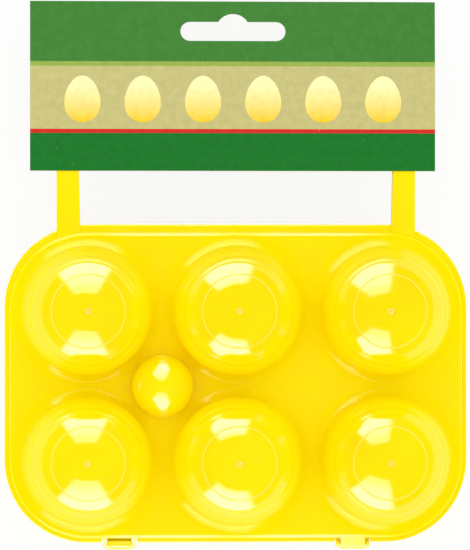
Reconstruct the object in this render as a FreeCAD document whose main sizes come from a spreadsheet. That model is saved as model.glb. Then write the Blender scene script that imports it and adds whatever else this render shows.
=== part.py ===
import FreeCAD, Part
import math
import os
import Sketcher

# Carrying case for six eggs, in millimetres. Two halves from one mould close face to face: the second
# half is the first turned over about the line from hinge to handle. Each half is drawn with its parting
# face on the plane z = 0, its cups rising to +z, its handle towards +y and its hinge along -y.

doc = FreeCAD.newDocument("egg_holder")
sheet = doc.addObject("Spreadsheet::Sheet", "Sizes")
SIZES = {
    # Tray, rim and cups.
    "cup_pitch_x": 59.2,  # between cup centres along the long side
    "cup_pitch_y": 59.5,  # between the two rows of cups
    "rim_margin": 33.0,  # cup centre to outer edge of the rim
    "half_depth": 33.0,  # parting face to the feet
    "wall": 1.4,  # moulded wall
    "tray_depth": 5.0,  # parting face to the outside of the web
    "tray_edge": 1.4,  # rounding of the tray's outer edge
    "tray_draft": 12.0,  # degrees that the tray's wall leans in
    "flange_width": 1.2,  # rim flange outside the tray wall
    "front_lip": 1.4,  # extra flange on the handle side
    "flange_thick": 1.6,  # rim flange
    "flange_edge": 0.6,  # rounding of the flange
    "dome_radius": 25.4,  # outside of a cup
    "wall_draft": 5.0,  # least lean of a cup's wall, in degrees
    "wall_straight": 0.5,  # least straight wall between dome and fillet
    "base_fillet": 3.6,  # cup to web, outside
    "ring_radius": 14.2,  # edge of the mould insert on each cap
    "ring_step": 0.2,  # cap stands proud of the dome
    "ring_slope": 0.5,  # width of that step
    "corner_foot": 3.0,  # flat foot on the four outer cups
    "corner_cap": 22.6,  # cap curve on the four outer cups
    "middle_foot": 9.4,  # flat foot on the two middle cups
    "middle_cap": 7.0,  # cap curve on the two middle cups
    "gate_radius": 1.4,  # gate recess in each foot
    "gate_depth": 0.4,  # gate recess in each foot
    # Snap closure.
    "socket_radius": 12.3,  # outside of the ball socket
    "socket_wall_height": 4.5,  # straight part of the ball socket
    "peg_clearance": 0.5,  # socket wall to the bead of the peg
    "peg_bead": 0.5,  # bead on the peg
    "peg_lead": 1.75,  # tip to the crest of the bead
    "peg_run": 3.0,  # tip to the back of the bead
    "peg_wall": 1.6,  # peg tube
    "peg_reach": 9.5,  # peg tip past the parting face
    "peg_slot": 2.4,  # slots between the peg's fingers
    # Carry handle.
    "handle_overhang": 12.4,  # outer strap edge past the outer cup centres
    "handle_height": 42.0,  # bar above the rim
    "strap_width": 8.8,  # strap and bar
    "strap_flare": 0.8,  # extra strap width at the rim
    "strap_thick": 2.0,  # strap and bar
    "strap_lift": 0.45,  # strap set back from the parting face
    "strap_root": 6.0,  # strap carried in from the rim edge
    "handle_corner": 14.0,  # outer corner of the loop
    "strap_edge": 0.5,  # rounding of the loop's outer face
    # Hinge hooks and bars.
    "hinge_spread": 46.6,  # hinge centre from the middle of the case
    "hinge_offset": 0.7,  # hinge line outside the rim edge
    "hinge_bar": 1.0,  # bar radius
    "hinge_play": 0.12,  # bar to hook
    "hook_thick": 1.0,  # hook wall
    "hook_width": 9.6,  # hook along the hinge line
    "ear_radius": 1.5,  # ear round the end of the bar
    "ear_thick": 1.6,  # ear along the hinge line
    "hinge_side_gap": 0.25,  # hook to ear
    "hinge_relief": 2.7,  # rim cut back round the hinge line
    "arm_drop": 0.6,  # hinge arms below the tray's rounding
    "arm_rise": 0.8,  # ears above the parting face
    "arm_lean": 10.0,  # degrees past upright where the arms leave the hinge
    "ear_under": 45.0,  # degrees below level where the ear leaves the hinge
    "hook_mouth": 40.0,  # degrees below level at the tip of the hook
    "hook_throat": 45.0,  # degrees above level at the root of the hook
    # Folded card over the handle.
    "card_width": 161.6,  # card across
    "card_height": 67.6,  # fold to lower edge
    "card_rise": 22.7,  # lower edge above the rim
    "card_shift": 1.3,  # card off the middle of the bar
    "card_thick": 0.36,  # card
    "card_fit": 0.09,  # card to strap
    "fold_gap": 0.08,  # inside the fold
    "slot_width": 42.0,  # hang slot
    "slot_height": 7.6,  # hang slot
    "slot_hump": 7.0,  # hump on the hang slot, from the slot's middle
    "slot_drop": 12.0,  # fold to the middle of the hang slot
}
for row, (alias, value) in enumerate(SIZES.items(), 1):
    sheet.set("A" + str(row), alias)
    sheet.set("B" + str(row), str(value))
    sheet.setAlias("B" + str(row), alias)
doc.recompute()

RIM = "(Sizes.cup_pitch_y / 2 + Sizes.rim_margin)"
TRAY = "(Sizes.rim_margin - Sizes.flange_width)"
HINGE_LINE = "(" + RIM + " + Sizes.hinge_offset)"
BORE = "(Sizes.hinge_bar + Sizes.hinge_play)"
HOOK = "(" + BORE + " + Sizes.hook_thick)"
CARD_TOP = "(" + RIM + " + Sizes.card_rise + Sizes.card_height)"
CENTRE_Y = "((" + CARD_TOP + " - " + HINGE_LINE + " - " + HOOK + ") / 2)"


def num(expression):
    return float(sheet.evalExpression(expression))


def sketch_on(body, name, role, x="0", y="0", z="0"):
    sketch = body.newObject("Sketcher::SketchObject", name)
    plane = [item for item in body.Origin.OriginFeatures if item.Role == role][0]
    sketch.AttachmentSupport = [(plane, "")]
    sketch.MapMode = "FlatFace"
    for axis, expression in (("x", x), ("y", y), ("z", z)):
        sketch.setExpression("AttachmentOffset.Base." + axis, expression)
    return sketch


def line(sketch, start, end):
    a = FreeCAD.Vector(start[0], start[1], 0)
    b = FreeCAD.Vector(end[0], end[1], 0)
    return sketch.addGeometry(Part.LineSegment(a, b))


def arc(sketch, centre, radius, start, end):
    circle = Part.Circle(FreeCAD.Vector(centre[0], centre[1], 0), FreeCAD.Vector(0, 0, 1), radius)
    return sketch.addGeometry(Part.ArcOfCircle(circle, math.radians(start), math.radians(end)))


def rule(sketch, *terms):
    return sketch.addConstraint(Sketcher.Constraint(*terms))


def drive(sketch, name, expression, *terms):
    value = num(expression)
    if terms[0] == "Angle":
        value = math.radians(value)
    index = rule(sketch, *terms, value)
    sketch.renameConstraint(index, name)
    sketch.setExpression("Constraints." + name, expression)


def place_point(sketch, name, geometry, end, x, y):
    for axis, expression in (("X", x), ("Y", y)):
        if num(expression) == 0:
            rule(sketch, "PointOnObject", geometry, end, -2 if axis == "X" else -1)
        elif num(expression) > 0:
            drive(sketch, name + axis, expression, "Distance" + axis, -1, 1, geometry, end)
        else:
            drive(sketch, name + axis, "-(" + expression + ")", "Distance" + axis, geometry, end, -1, 1)


def polygon(sketch, corners):
    points = [(num(x), num(y)) for x, y in corners]
    count = len(points)
    sides = [line(sketch, points[i], points[(i + 1) % count]) for i in range(count)]
    for i in range(count):
        rule(sketch, "Coincident", sides[i - 1], 2, sides[i], 1)
    for i in range(count):
        place_point(sketch, "corner" + chr(97 + i), sides[i], 1, corners[i][0], corners[i][1])


def feature(body, kind, name, sketch):
    item = body.newObject("PartDesign::" + kind, name)
    item.Profile = sketch
    sketch.Visibility = False
    body.Tip = item
    return item


def extrude(body, kind, name, sketch, length, side="One side", reverse=False, draft=None):
    item = feature(body, kind, name, sketch)
    item.SideType = side
    item.Reversed = reverse
    item.setExpression("Length", length)
    if draft:
        item.setExpression("TaperAngle", "-" + draft)
    doc.recompute()
    return item


def revolve(body, kind, name, sketch):
    item = feature(body, kind, name, sketch)
    item.ReferenceAxis = (sketch, ["V_Axis"])
    item.Angle = 360.0
    doc.recompute()
    return item


def fillet(body, name, base, edges, radius):
    item = body.newObject("PartDesign::Fillet", name)
    item.Base = (base, edges)
    item.setExpression("Radius", radius)
    body.Tip = item
    doc.recompute()
    return item


# Edges that lie at one height, of those that reach past a line along x.
def edges_at(shape, height, past=-math.inf):
    names = []
    for index, edge in enumerate(shape.Edges):
        box = edge.BoundBox
        level = abs(box.ZMin - height) < 1e-4 and abs(box.ZMax - height) < 1e-4
        if level and box.YMax > past:
            names.append("Edge" + str(index + 1))
    return names


# Rounded outline that runs round the four outer cup centres at one distance from them, and further out by
# the lip on the handle side.
def rim_outline(sketch, margin, lip="0"):
    x = num("Sizes.cup_pitch_x")
    y = num("Sizes.cup_pitch_y / 2")
    high = num("Sizes.cup_pitch_y / 2 + " + lip)
    m = num(margin)
    top = line(sketch, (-x, high + m), (x, high + m))
    right = line(sketch, (x + m, high), (x + m, -y))
    bottom = line(sketch, (x, -y - m), (-x, -y - m))
    left = line(sketch, (-x - m, -y), (-x - m, high))
    ne = arc(sketch, (x, high), m, 0, 90)
    se = arc(sketch, (x, -y), m, 270, 360)
    sw = arc(sketch, (-x, -y), m, 180, 270)
    nw = arc(sketch, (-x, high), m, 90, 180)
    for side, side_end, corner, corner_end in (
        (top, 2, ne, 2), (right, 1, ne, 1), (right, 2, se, 2), (bottom, 1, se, 1),
        (bottom, 2, sw, 2), (left, 1, sw, 1), (left, 2, nw, 2), (top, 1, nw, 1),
    ):
        rule(sketch, "Tangent", side, side_end, corner, corner_end)
    rule(sketch, "Horizontal", top)
    rule(sketch, "Horizontal", bottom)
    rule(sketch, "Vertical", right)
    rule(sketch, "Vertical", left)
    for corner in (se, sw, nw):
        rule(sketch, "Equal", ne, corner)
    drive(sketch, "right_column", "Sizes.cup_pitch_x", "DistanceX", -1, 1, ne, 3)
    drive(sketch, "left_column", "Sizes.cup_pitch_x", "DistanceX", sw, 3, -1, 1)
    drive(sketch, "handle_row", "Sizes.cup_pitch_y / 2 + " + lip, "DistanceY", -1, 1, ne, 3)
    drive(sketch, "hinge_row", "Sizes.cup_pitch_y / 2", "DistanceY", se, 3, -1, 1)
    drive(sketch, "margin", margin, "Radius", ne)


def dome_centre(foot, cap):
    rise = "sqrt(" + cap + "^2 - (Sizes.ring_radius - " + foot + ")^2)"
    drop = "sqrt(Sizes.dome_radius^2 - (Sizes.ring_radius + Sizes.ring_slope)^2)"
    return "(Sizes.half_depth - " + cap + " + " + rise + " - Sizes.ring_step - " + drop + ")"


# Lean of a cup's wall: the draft, or more where the dome sits so low that it has to run into the fillet.
def wall_lean(foot, cap):
    short = "Sizes.tray_depth + Sizes.base_fillet + Sizes.wall_straight - " + dome_centre(foot, cap)
    needed = "asin((" + short + ") / (Sizes.dome_radius + Sizes.base_fillet)) / 1 deg"
    return "max(Sizes.wall_draft; " + needed + ")"


# Half section of a cup's outside: gate recess, flat foot, cap, step at the insert's edge, dome, drafted
# wall and the fillet that runs out on the web.
def cup_outside(sketch, foot, cap):
    top = num("Sizes.half_depth")
    web = num("Sizes.tray_depth")
    low = num("Sizes.tray_depth - Sizes.wall")
    gate = num("Sizes.gate_radius")
    gate_floor = num("Sizes.half_depth - Sizes.gate_depth")
    ring = num("Sizes.ring_radius")
    ring_foot = num("Sizes.ring_radius + Sizes.ring_slope")
    dome = num("Sizes.dome_radius")
    fillet_radius = num("Sizes.base_fillet")
    draft = num(wall_lean(foot, cap))
    foot_radius = num(foot)
    cap_radius = num(cap)
    centre = num(dome_centre(foot, cap))
    cos_draft = math.cos(math.radians(draft))
    sin_draft = math.sin(math.radians(draft))
    cap_end = math.degrees(math.acos((ring - foot_radius) / cap_radius))
    cap_edge = top - cap_radius + cap_radius * math.sin(math.radians(cap_end))
    dome_end = math.degrees(math.acos(ring_foot / dome))
    dome_edge = centre + dome * math.sin(math.radians(dome_end))
    wall_x = dome * cos_draft
    wall_z = centre + dome * sin_draft
    out = wall_x + (fillet_radius - sin_draft * (web + fillet_radius - wall_z)) / cos_draft
    heel_x = out - fillet_radius * cos_draft
    heel_z = web + fillet_radius - fillet_radius * sin_draft

    axis = line(sketch, (0, low), (0, gate_floor))
    gate_face = line(sketch, (0, gate_floor), (gate, gate_floor))
    gate_wall = line(sketch, (gate, gate_floor), (gate, top))
    foot_face = line(sketch, (gate, top), (foot_radius, top))
    cap_arc = arc(sketch, (foot_radius, top - cap_radius), cap_radius, cap_end, 90)
    step = line(sketch, (ring, cap_edge), (ring_foot, dome_edge))
    dome_arc = arc(sketch, (0, centre), dome, draft, dome_end)
    wall = line(sketch, (heel_x, heel_z), (wall_x, wall_z))
    heel = arc(sketch, (out, web + fillet_radius), fillet_radius, 180 + draft, 270)
    skirt = line(sketch, (out, web), (out, low))
    base = line(sketch, (out, low), (0, low))

    rule(sketch, "Coincident", axis, 2, gate_face, 1)
    rule(sketch, "Coincident", gate_face, 2, gate_wall, 1)
    rule(sketch, "Coincident", gate_wall, 2, foot_face, 1)
    rule(sketch, "Tangent", foot_face, 2, cap_arc, 2)
    rule(sketch, "Coincident", cap_arc, 1, step, 1)
    rule(sketch, "Coincident", step, 2, dome_arc, 2)
    rule(sketch, "Tangent", dome_arc, 1, wall, 2)
    rule(sketch, "Tangent", wall, 1, heel, 1)
    rule(sketch, "Coincident", heel, 2, skirt, 1)
    rule(sketch, "Coincident", skirt, 2, base, 1)
    rule(sketch, "Coincident", base, 2, axis, 1)
    rule(sketch, "PointOnObject", axis, 1, -2)
    rule(sketch, "PointOnObject", dome_arc, 3, -2)
    rule(sketch, "Vertical", axis)
    rule(sketch, "Horizontal", gate_face)
    rule(sketch, "Vertical", gate_wall)
    rule(sketch, "Horizontal", foot_face)
    rule(sketch, "Vertical", skirt)
    rule(sketch, "Horizontal", base)
    rule(sketch, "Vertical", heel, 3, heel, 2)
    drive(sketch, "low", "Sizes.tray_depth - Sizes.wall", "DistanceY", -1, 1, axis, 1)
    drive(sketch, "top", "Sizes.half_depth", "DistanceY", -1, 1, foot_face, 1)
    drive(sketch, "gate_floor", "Sizes.gate_depth", "DistanceY", gate_wall, 1, gate_wall, 2)
    drive(sketch, "gate", "Sizes.gate_radius", "DistanceX", -1, 1, gate_wall, 1)
    drive(sketch, "foot", foot, "DistanceX", -1, 1, foot_face, 2)
    drive(sketch, "cap", cap, "Radius", cap_arc)
    drive(sketch, "ring", "Sizes.ring_radius", "DistanceX", -1, 1, step, 1)
    drive(sketch, "ring_step", "Sizes.ring_step", "DistanceY", step, 2, step, 1)
    drive(sketch, "ring_slope", "Sizes.ring_slope", "DistanceX", step, 1, step, 2)
    drive(sketch, "dome", "Sizes.dome_radius", "Radius", dome_arc)
    drive(sketch, "draft", "90 + " + wall_lean(foot, cap), "Angle", wall)
    drive(sketch, "heel", "Sizes.base_fillet", "Radius", heel)
    drive(sketch, "web", "Sizes.tray_depth", "DistanceY", -1, 1, heel, 2)


# Half section of the room inside a cup, one wall in from the outside, with a flat floor over the foot
# and a rounded mouth on the inside of the web.
def cup_inside(sketch, foot, cap):
    floor = num("Sizes.half_depth - Sizes.wall")
    web = num("Sizes.tray_depth - Sizes.wall")
    low = num("Sizes.flange_thick / 2")
    dome = num("Sizes.dome_radius - Sizes.wall")
    mouth_radius = num("Sizes.base_fillet + Sizes.wall")
    draft = num(wall_lean(foot, cap))
    centre = num(dome_centre(foot, cap))
    cos_draft = math.cos(math.radians(draft))
    sin_draft = math.sin(math.radians(draft))
    dome_end = math.degrees(math.asin((floor - centre) / dome))
    floor_radius = dome * math.cos(math.radians(dome_end))
    wall_x = dome * cos_draft
    wall_z = centre + dome * sin_draft
    out = wall_x + (mouth_radius - sin_draft * (web + mouth_radius - wall_z)) / cos_draft
    mouth_x = out - mouth_radius * cos_draft
    mouth_z = web + mouth_radius - mouth_radius * sin_draft

    axis = line(sketch, (0, low), (0, floor))
    floor_face = line(sketch, (0, floor), (floor_radius, floor))
    dome_arc = arc(sketch, (0, centre), dome, draft, dome_end)
    wall = line(sketch, (mouth_x, mouth_z), (wall_x, wall_z))
    mouth = arc(sketch, (out, web + mouth_radius), mouth_radius, 180 + draft, 270)
    side = line(sketch, (out, web), (out, low))
    base = line(sketch, (out, low), (0, low))

    rule(sketch, "Coincident", axis, 2, floor_face, 1)
    rule(sketch, "Coincident", floor_face, 2, dome_arc, 2)
    rule(sketch, "Tangent", dome_arc, 1, wall, 2)
    rule(sketch, "Tangent", wall, 1, mouth, 1)
    rule(sketch, "Coincident", mouth, 2, side, 1)
    rule(sketch, "Coincident", side, 2, base, 1)
    rule(sketch, "Coincident", base, 2, axis, 1)
    rule(sketch, "PointOnObject", axis, 1, -2)
    rule(sketch, "PointOnObject", dome_arc, 3, -2)
    rule(sketch, "Vertical", axis)
    rule(sketch, "Horizontal", floor_face)
    rule(sketch, "Vertical", side)
    rule(sketch, "Horizontal", base)
    rule(sketch, "Vertical", mouth, 3, mouth, 2)
    drive(sketch, "low", "Sizes.flange_thick / 2", "DistanceY", -1, 1, axis, 1)
    drive(sketch, "floor", "Sizes.half_depth - Sizes.wall", "DistanceY", -1, 1, axis, 2)
    drive(sketch, "dome_centre", dome_centre(foot, cap), "DistanceY", -1, 1, dome_arc, 3)
    drive(sketch, "dome", "Sizes.dome_radius - Sizes.wall", "Radius", dome_arc)
    drive(sketch, "draft", "90 + " + wall_lean(foot, cap), "Angle", wall)
    drive(sketch, "mouth", "Sizes.base_fillet + Sizes.wall", "Radius", mouth)
    drive(sketch, "web", "Sizes.tray_depth - Sizes.wall", "DistanceY", -1, 1, mouth, 2)


def grid(body, name, original, corner):
    item = body.newObject("PartDesign::LinearPattern", name)
    item.Originals = [original]
    along = {axis.Role: axis for axis in body.Origin.OriginFeatures}
    if corner:
        item.Direction = (along["X_Axis"], [""])
        item.Occurrences = 2
        item.setExpression("Length", "2 * Sizes.cup_pitch_x")
        item.Direction2 = (along["Y_Axis"], [""])
        item.Occurrences2 = 2
        item.setExpression("Length2", "Sizes.cup_pitch_y")
    else:
        item.Direction = (along["Y_Axis"], [""])
        item.Occurrences = 2
        item.setExpression("Length", "Sizes.cup_pitch_y")
    body.Tip = item
    doc.recompute()
    return item


CUPS = (
    ("Corner", "-Sizes.cup_pitch_x", "Sizes.corner_foot", "Sizes.corner_cap"),
    ("Middle", "0", "Sizes.middle_foot", "Sizes.middle_cap"),
)


def add_cups(body, kind, name, section):
    for group, column, foot, cap in CUPS:
        sketch = sketch_on(body, group + name + "Section", "XZ_Plane", column, "0", "Sizes.cup_pitch_y / 2")
        section(sketch, foot, cap)
        cup = revolve(body, kind, group + name, sketch)
        grid(body, group + name + "Grid", cup, group == "Corner")


# Flat loop: two straps that widen a little at the rim, and a bar with rounded corners.
def handle_outline(sketch):
    outer = num("Sizes.cup_pitch_x + Sizes.handle_overhang")
    inner = num("Sizes.cup_pitch_x + Sizes.handle_overhang - Sizes.strap_width")
    root = num("Sizes.cup_pitch_x + Sizes.handle_overhang - Sizes.strap_width - Sizes.strap_flare")
    bottom = num(RIM + " - Sizes.strap_root")
    top = num(RIM + " + Sizes.handle_height")
    under = num(RIM + " + Sizes.handle_height - Sizes.strap_width")
    big = num("Sizes.handle_corner")
    small = num("Sizes.handle_corner - Sizes.strap_width")
    turn = under - small

    left_out = line(sketch, (-outer, bottom), (-outer, top - big))
    left_big = arc(sketch, (-outer + big, top - big), big, 90, 180)
    bar_top = line(sketch, (-outer + big, top), (outer - big, top))
    right_big = arc(sketch, (outer - big, top - big), big, 0, 90)
    right_out = line(sketch, (outer, top - big), (outer, bottom))
    right_foot = line(sketch, (outer, bottom), (root, bottom))
    right_in = line(sketch, (root, bottom), (inner, turn))
    right_small = arc(sketch, (inner - small, turn), small, 0, 90)
    bar_under = line(sketch, (inner - small, under), (-inner + small, under))
    left_small = arc(sketch, (-inner + small, turn), small, 90, 180)
    left_in = line(sketch, (-inner, turn), (-root, bottom))
    left_foot = line(sketch, (-root, bottom), (-outer, bottom))

    rule(sketch, "Tangent", left_out, 2, left_big, 2)
    rule(sketch, "Tangent", left_big, 1, bar_top, 1)
    rule(sketch, "Tangent", bar_top, 2, right_big, 2)
    rule(sketch, "Tangent", right_big, 1, right_out, 1)
    rule(sketch, "Coincident", right_out, 2, right_foot, 1)
    rule(sketch, "Coincident", right_foot, 2, right_in, 1)
    rule(sketch, "Coincident", right_in, 2, right_small, 1)
    rule(sketch, "Tangent", right_small, 2, bar_under, 1)
    rule(sketch, "Tangent", bar_under, 2, left_small, 1)
    rule(sketch, "Coincident", left_small, 2, left_in, 1)
    rule(sketch, "Coincident", left_in, 2, left_foot, 1)
    rule(sketch, "Coincident", left_foot, 2, left_out, 1)
    for upright in (left_out, right_out):
        rule(sketch, "Vertical", upright)
    for level in (bar_top, right_foot):
        rule(sketch, "Horizontal", level)
    rule(sketch, "Equal", left_big, right_big)
    rule(sketch, "Equal", left_small, right_small)
    rule(sketch, "Horizontal", right_small, 3, right_small, 1)
    rule(sketch, "Horizontal", left_small, 3, left_small, 2)
    rule(sketch, "Symmetric", left_foot, 1, right_foot, 2, -2)
    rule(sketch, "Symmetric", left_foot, 2, right_foot, 1, -2)
    rule(sketch, "Symmetric", left_in, 1, right_in, 2, -2)
    half = "Sizes.cup_pitch_x + Sizes.handle_overhang"
    drive(sketch, "outer", half, "DistanceX", -1, 1, right_foot, 1)
    drive(sketch, "root", "Sizes.strap_width + Sizes.strap_flare", "DistanceX", right_foot, 2, right_foot, 1)
    drive(sketch, "inner", half + " - Sizes.strap_width", "DistanceX", -1, 1, right_in, 2)
    drive(sketch, "bottom", RIM + " - Sizes.strap_root", "DistanceY", -1, 1, right_foot, 1)
    drive(sketch, "top", RIM + " + Sizes.handle_height", "DistanceY", -1, 1, bar_top, 1)
    drive(sketch, "bar_depth", "Sizes.strap_width", "DistanceY", bar_under, 1, bar_top, 2)
    drive(sketch, "big", "Sizes.handle_corner", "Radius", right_big)
    drive(sketch, "small", "Sizes.handle_corner - Sizes.strap_width", "Radius", right_small)


# Half section of the ball socket, or of the room inside it: straight wall and a round end.
def ball_section(sketch, radius, low):
    r = num(radius)
    shoulder = num("Sizes.tray_depth + Sizes.socket_wall_height")
    axis = line(sketch, (0, num(low)), (0, shoulder + r))
    ball = arc(sketch, (0, shoulder), r, 0, 90)
    side = line(sketch, (r, shoulder), (r, num(low)))
    base = line(sketch, (r, num(low)), (0, num(low)))
    rule(sketch, "Coincident", axis, 2, ball, 2)
    rule(sketch, "Tangent", ball, 1, side, 1)
    rule(sketch, "Coincident", side, 2, base, 1)
    rule(sketch, "Coincident", base, 2, axis, 1)
    rule(sketch, "PointOnObject", axis, 1, -2)
    rule(sketch, "PointOnObject", ball, 3, -2)
    rule(sketch, "Vertical", axis)
    rule(sketch, "Vertical", side)
    rule(sketch, "Horizontal", base)
    drive(sketch, "radius", radius, "Radius", ball)
    drive(sketch, "shoulder", "Sizes.tray_depth + Sizes.socket_wall_height", "DistanceY", -1, 1, ball, 3)
    drive(sketch, "low", low, "DistanceY", -1, 1, axis, 1)


# One ear or the hook, seen along the hinge line, whose centre is the sketch origin: u runs from the hinge
# line into the case. The arm ends inside the tray wall.
ARM_TOP = "(Sizes.tray_depth - Sizes.tray_edge - Sizes.arm_drop)"
LEAN = "(" + ARM_TOP + " * tan(Sizes.tray_draft))"
ARM = "(Sizes.hinge_offset + Sizes.flange_width + Sizes.wall / 2 + " + LEAN + ")"


def on_circle(radius, degrees):
    return (radius * math.cos(math.radians(degrees)), radius * math.sin(math.radians(degrees)))


def ear_outline(sketch):
    r = num("Sizes.ear_radius")
    arm = num(ARM)
    high = num(ARM_TOP)
    low = num("Sizes.arm_rise")
    heel = 90 + num("Sizes.arm_lean")
    toe = 360 - num("Sizes.ear_under")
    rim = arc(sketch, (0, 0), r, heel, toe)
    over = line(sketch, on_circle(r, heel), (arm, high))
    end = line(sketch, (arm, high), (arm, low))
    under = line(sketch, (arm, low), on_circle(r, toe))
    rule(sketch, "Coincident", rim, 3, -1, 1)
    rule(sketch, "Coincident", rim, 1, over, 1)
    rule(sketch, "Coincident", over, 2, end, 1)
    rule(sketch, "Coincident", end, 2, under, 1)
    rule(sketch, "Coincident", under, 2, rim, 2)
    rule(sketch, "Vertical", end)
    drive(sketch, "radius", "Sizes.ear_radius", "Radius", rim)
    drive(sketch, "arm", ARM, "DistanceX", -1, 1, end, 1)
    drive(sketch, "high", ARM_TOP, "DistanceY", -1, 1, end, 1)
    drive(sketch, "low", "Sizes.arm_rise", "DistanceY", -1, 1, end, 2)
    drive(sketch, "over", "Sizes.ear_radius * sin(Sizes.arm_lean)", "DistanceX", rim, 1, -1, 1)
    drive(sketch, "under", "Sizes.ear_radius * cos(Sizes.ear_under)", "DistanceX", -1, 1, rim, 2)


def hook_outline(sketch):
    bore = num(BORE)
    out = num(HOOK)
    arm = num(ARM)
    high = num(ARM_TOP)
    low = num(ARM_TOP + " - Sizes.hook_thick")
    heel = 90 + num("Sizes.arm_lean")
    mouth = 360 - num("Sizes.hook_mouth")
    throat = num("Sizes.hook_throat")
    outer = arc(sketch, (0, 0), out, heel, mouth)
    tip = line(sketch, on_circle(out, mouth), on_circle(bore, mouth))
    inner = arc(sketch, (0, 0), bore, throat, mouth)
    under = line(sketch, on_circle(bore, throat), (arm, low))
    end = line(sketch, (arm, low), (arm, high))
    over = line(sketch, (arm, high), on_circle(out, heel))
    rule(sketch, "Coincident", outer, 3, -1, 1)
    rule(sketch, "Coincident", inner, 3, -1, 1)
    rule(sketch, "Coincident", outer, 2, tip, 1)
    rule(sketch, "Coincident", tip, 2, inner, 2)
    rule(sketch, "Coincident", inner, 1, under, 1)
    rule(sketch, "Coincident", under, 2, end, 1)
    rule(sketch, "Coincident", end, 2, over, 1)
    rule(sketch, "Coincident", over, 2, outer, 1)
    rule(sketch, "Vertical", end)
    drive(sketch, "outer", HOOK, "Radius", outer)
    drive(sketch, "bore", BORE, "Radius", inner)
    drive(sketch, "arm", ARM, "DistanceX", -1, 1, end, 1)
    drive(sketch, "high", ARM_TOP, "DistanceY", -1, 1, end, 2)
    drive(sketch, "low", "Sizes.hook_thick", "DistanceY", end, 1, end, 2)
    drive(sketch, "root", HOOK + " * sin(Sizes.arm_lean)", "DistanceX", outer, 1, -1, 1)
    drive(sketch, "tip_out", HOOK + " * cos(Sizes.hook_mouth)", "DistanceX", -1, 1, outer, 2)
    drive(sketch, "tip_in", BORE + " * cos(Sizes.hook_mouth)", "DistanceX", -1, 1, inner, 2)
    drive(sketch, "throat", BORE + " * cos(Sizes.hook_throat)", "DistanceX", -1, 1, inner, 1)


def ring(sketch, radius):
    circle = Part.Circle(FreeCAD.Vector(0, 0, 0), FreeCAD.Vector(0, 0, 1), num(radius))
    index = sketch.addGeometry(circle)
    rule(sketch, "Coincident", index, 3, -1, 1)
    drive(sketch, "radius", radius, "Radius", index)


# Half section of the snap peg: a tube on the inside of the web with a bead near its tip.
def peg_section(sketch):
    outer = "(Sizes.socket_radius - Sizes.wall - Sizes.peg_clearance - Sizes.peg_bead)"
    inner = "(" + outer + " - Sizes.peg_wall)"
    root = "(Sizes.tray_depth - Sizes.wall / 2)"
    tip = "-Sizes.peg_reach"
    polygon(sketch, (
        (inner, root),
        (inner, tip),
        (outer + " - Sizes.peg_bead", tip),
        (outer + " + Sizes.peg_bead", tip + " + Sizes.peg_lead"),
        (outer, tip + " + Sizes.peg_run"),
        (outer, root),
    ))


# Slot that crosses the peg, in two directions, so that it springs as four fingers.
def peg_slot(sketch, along_x):
    reach = "Sizes.socket_radius"
    half = "Sizes.peg_slot / 2"
    x = reach if along_x else half
    y = half if along_x else reach
    polygon(sketch, (("-" + x, "-" + y), (x, "-" + y), (x, y), ("-" + x, y)))


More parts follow.
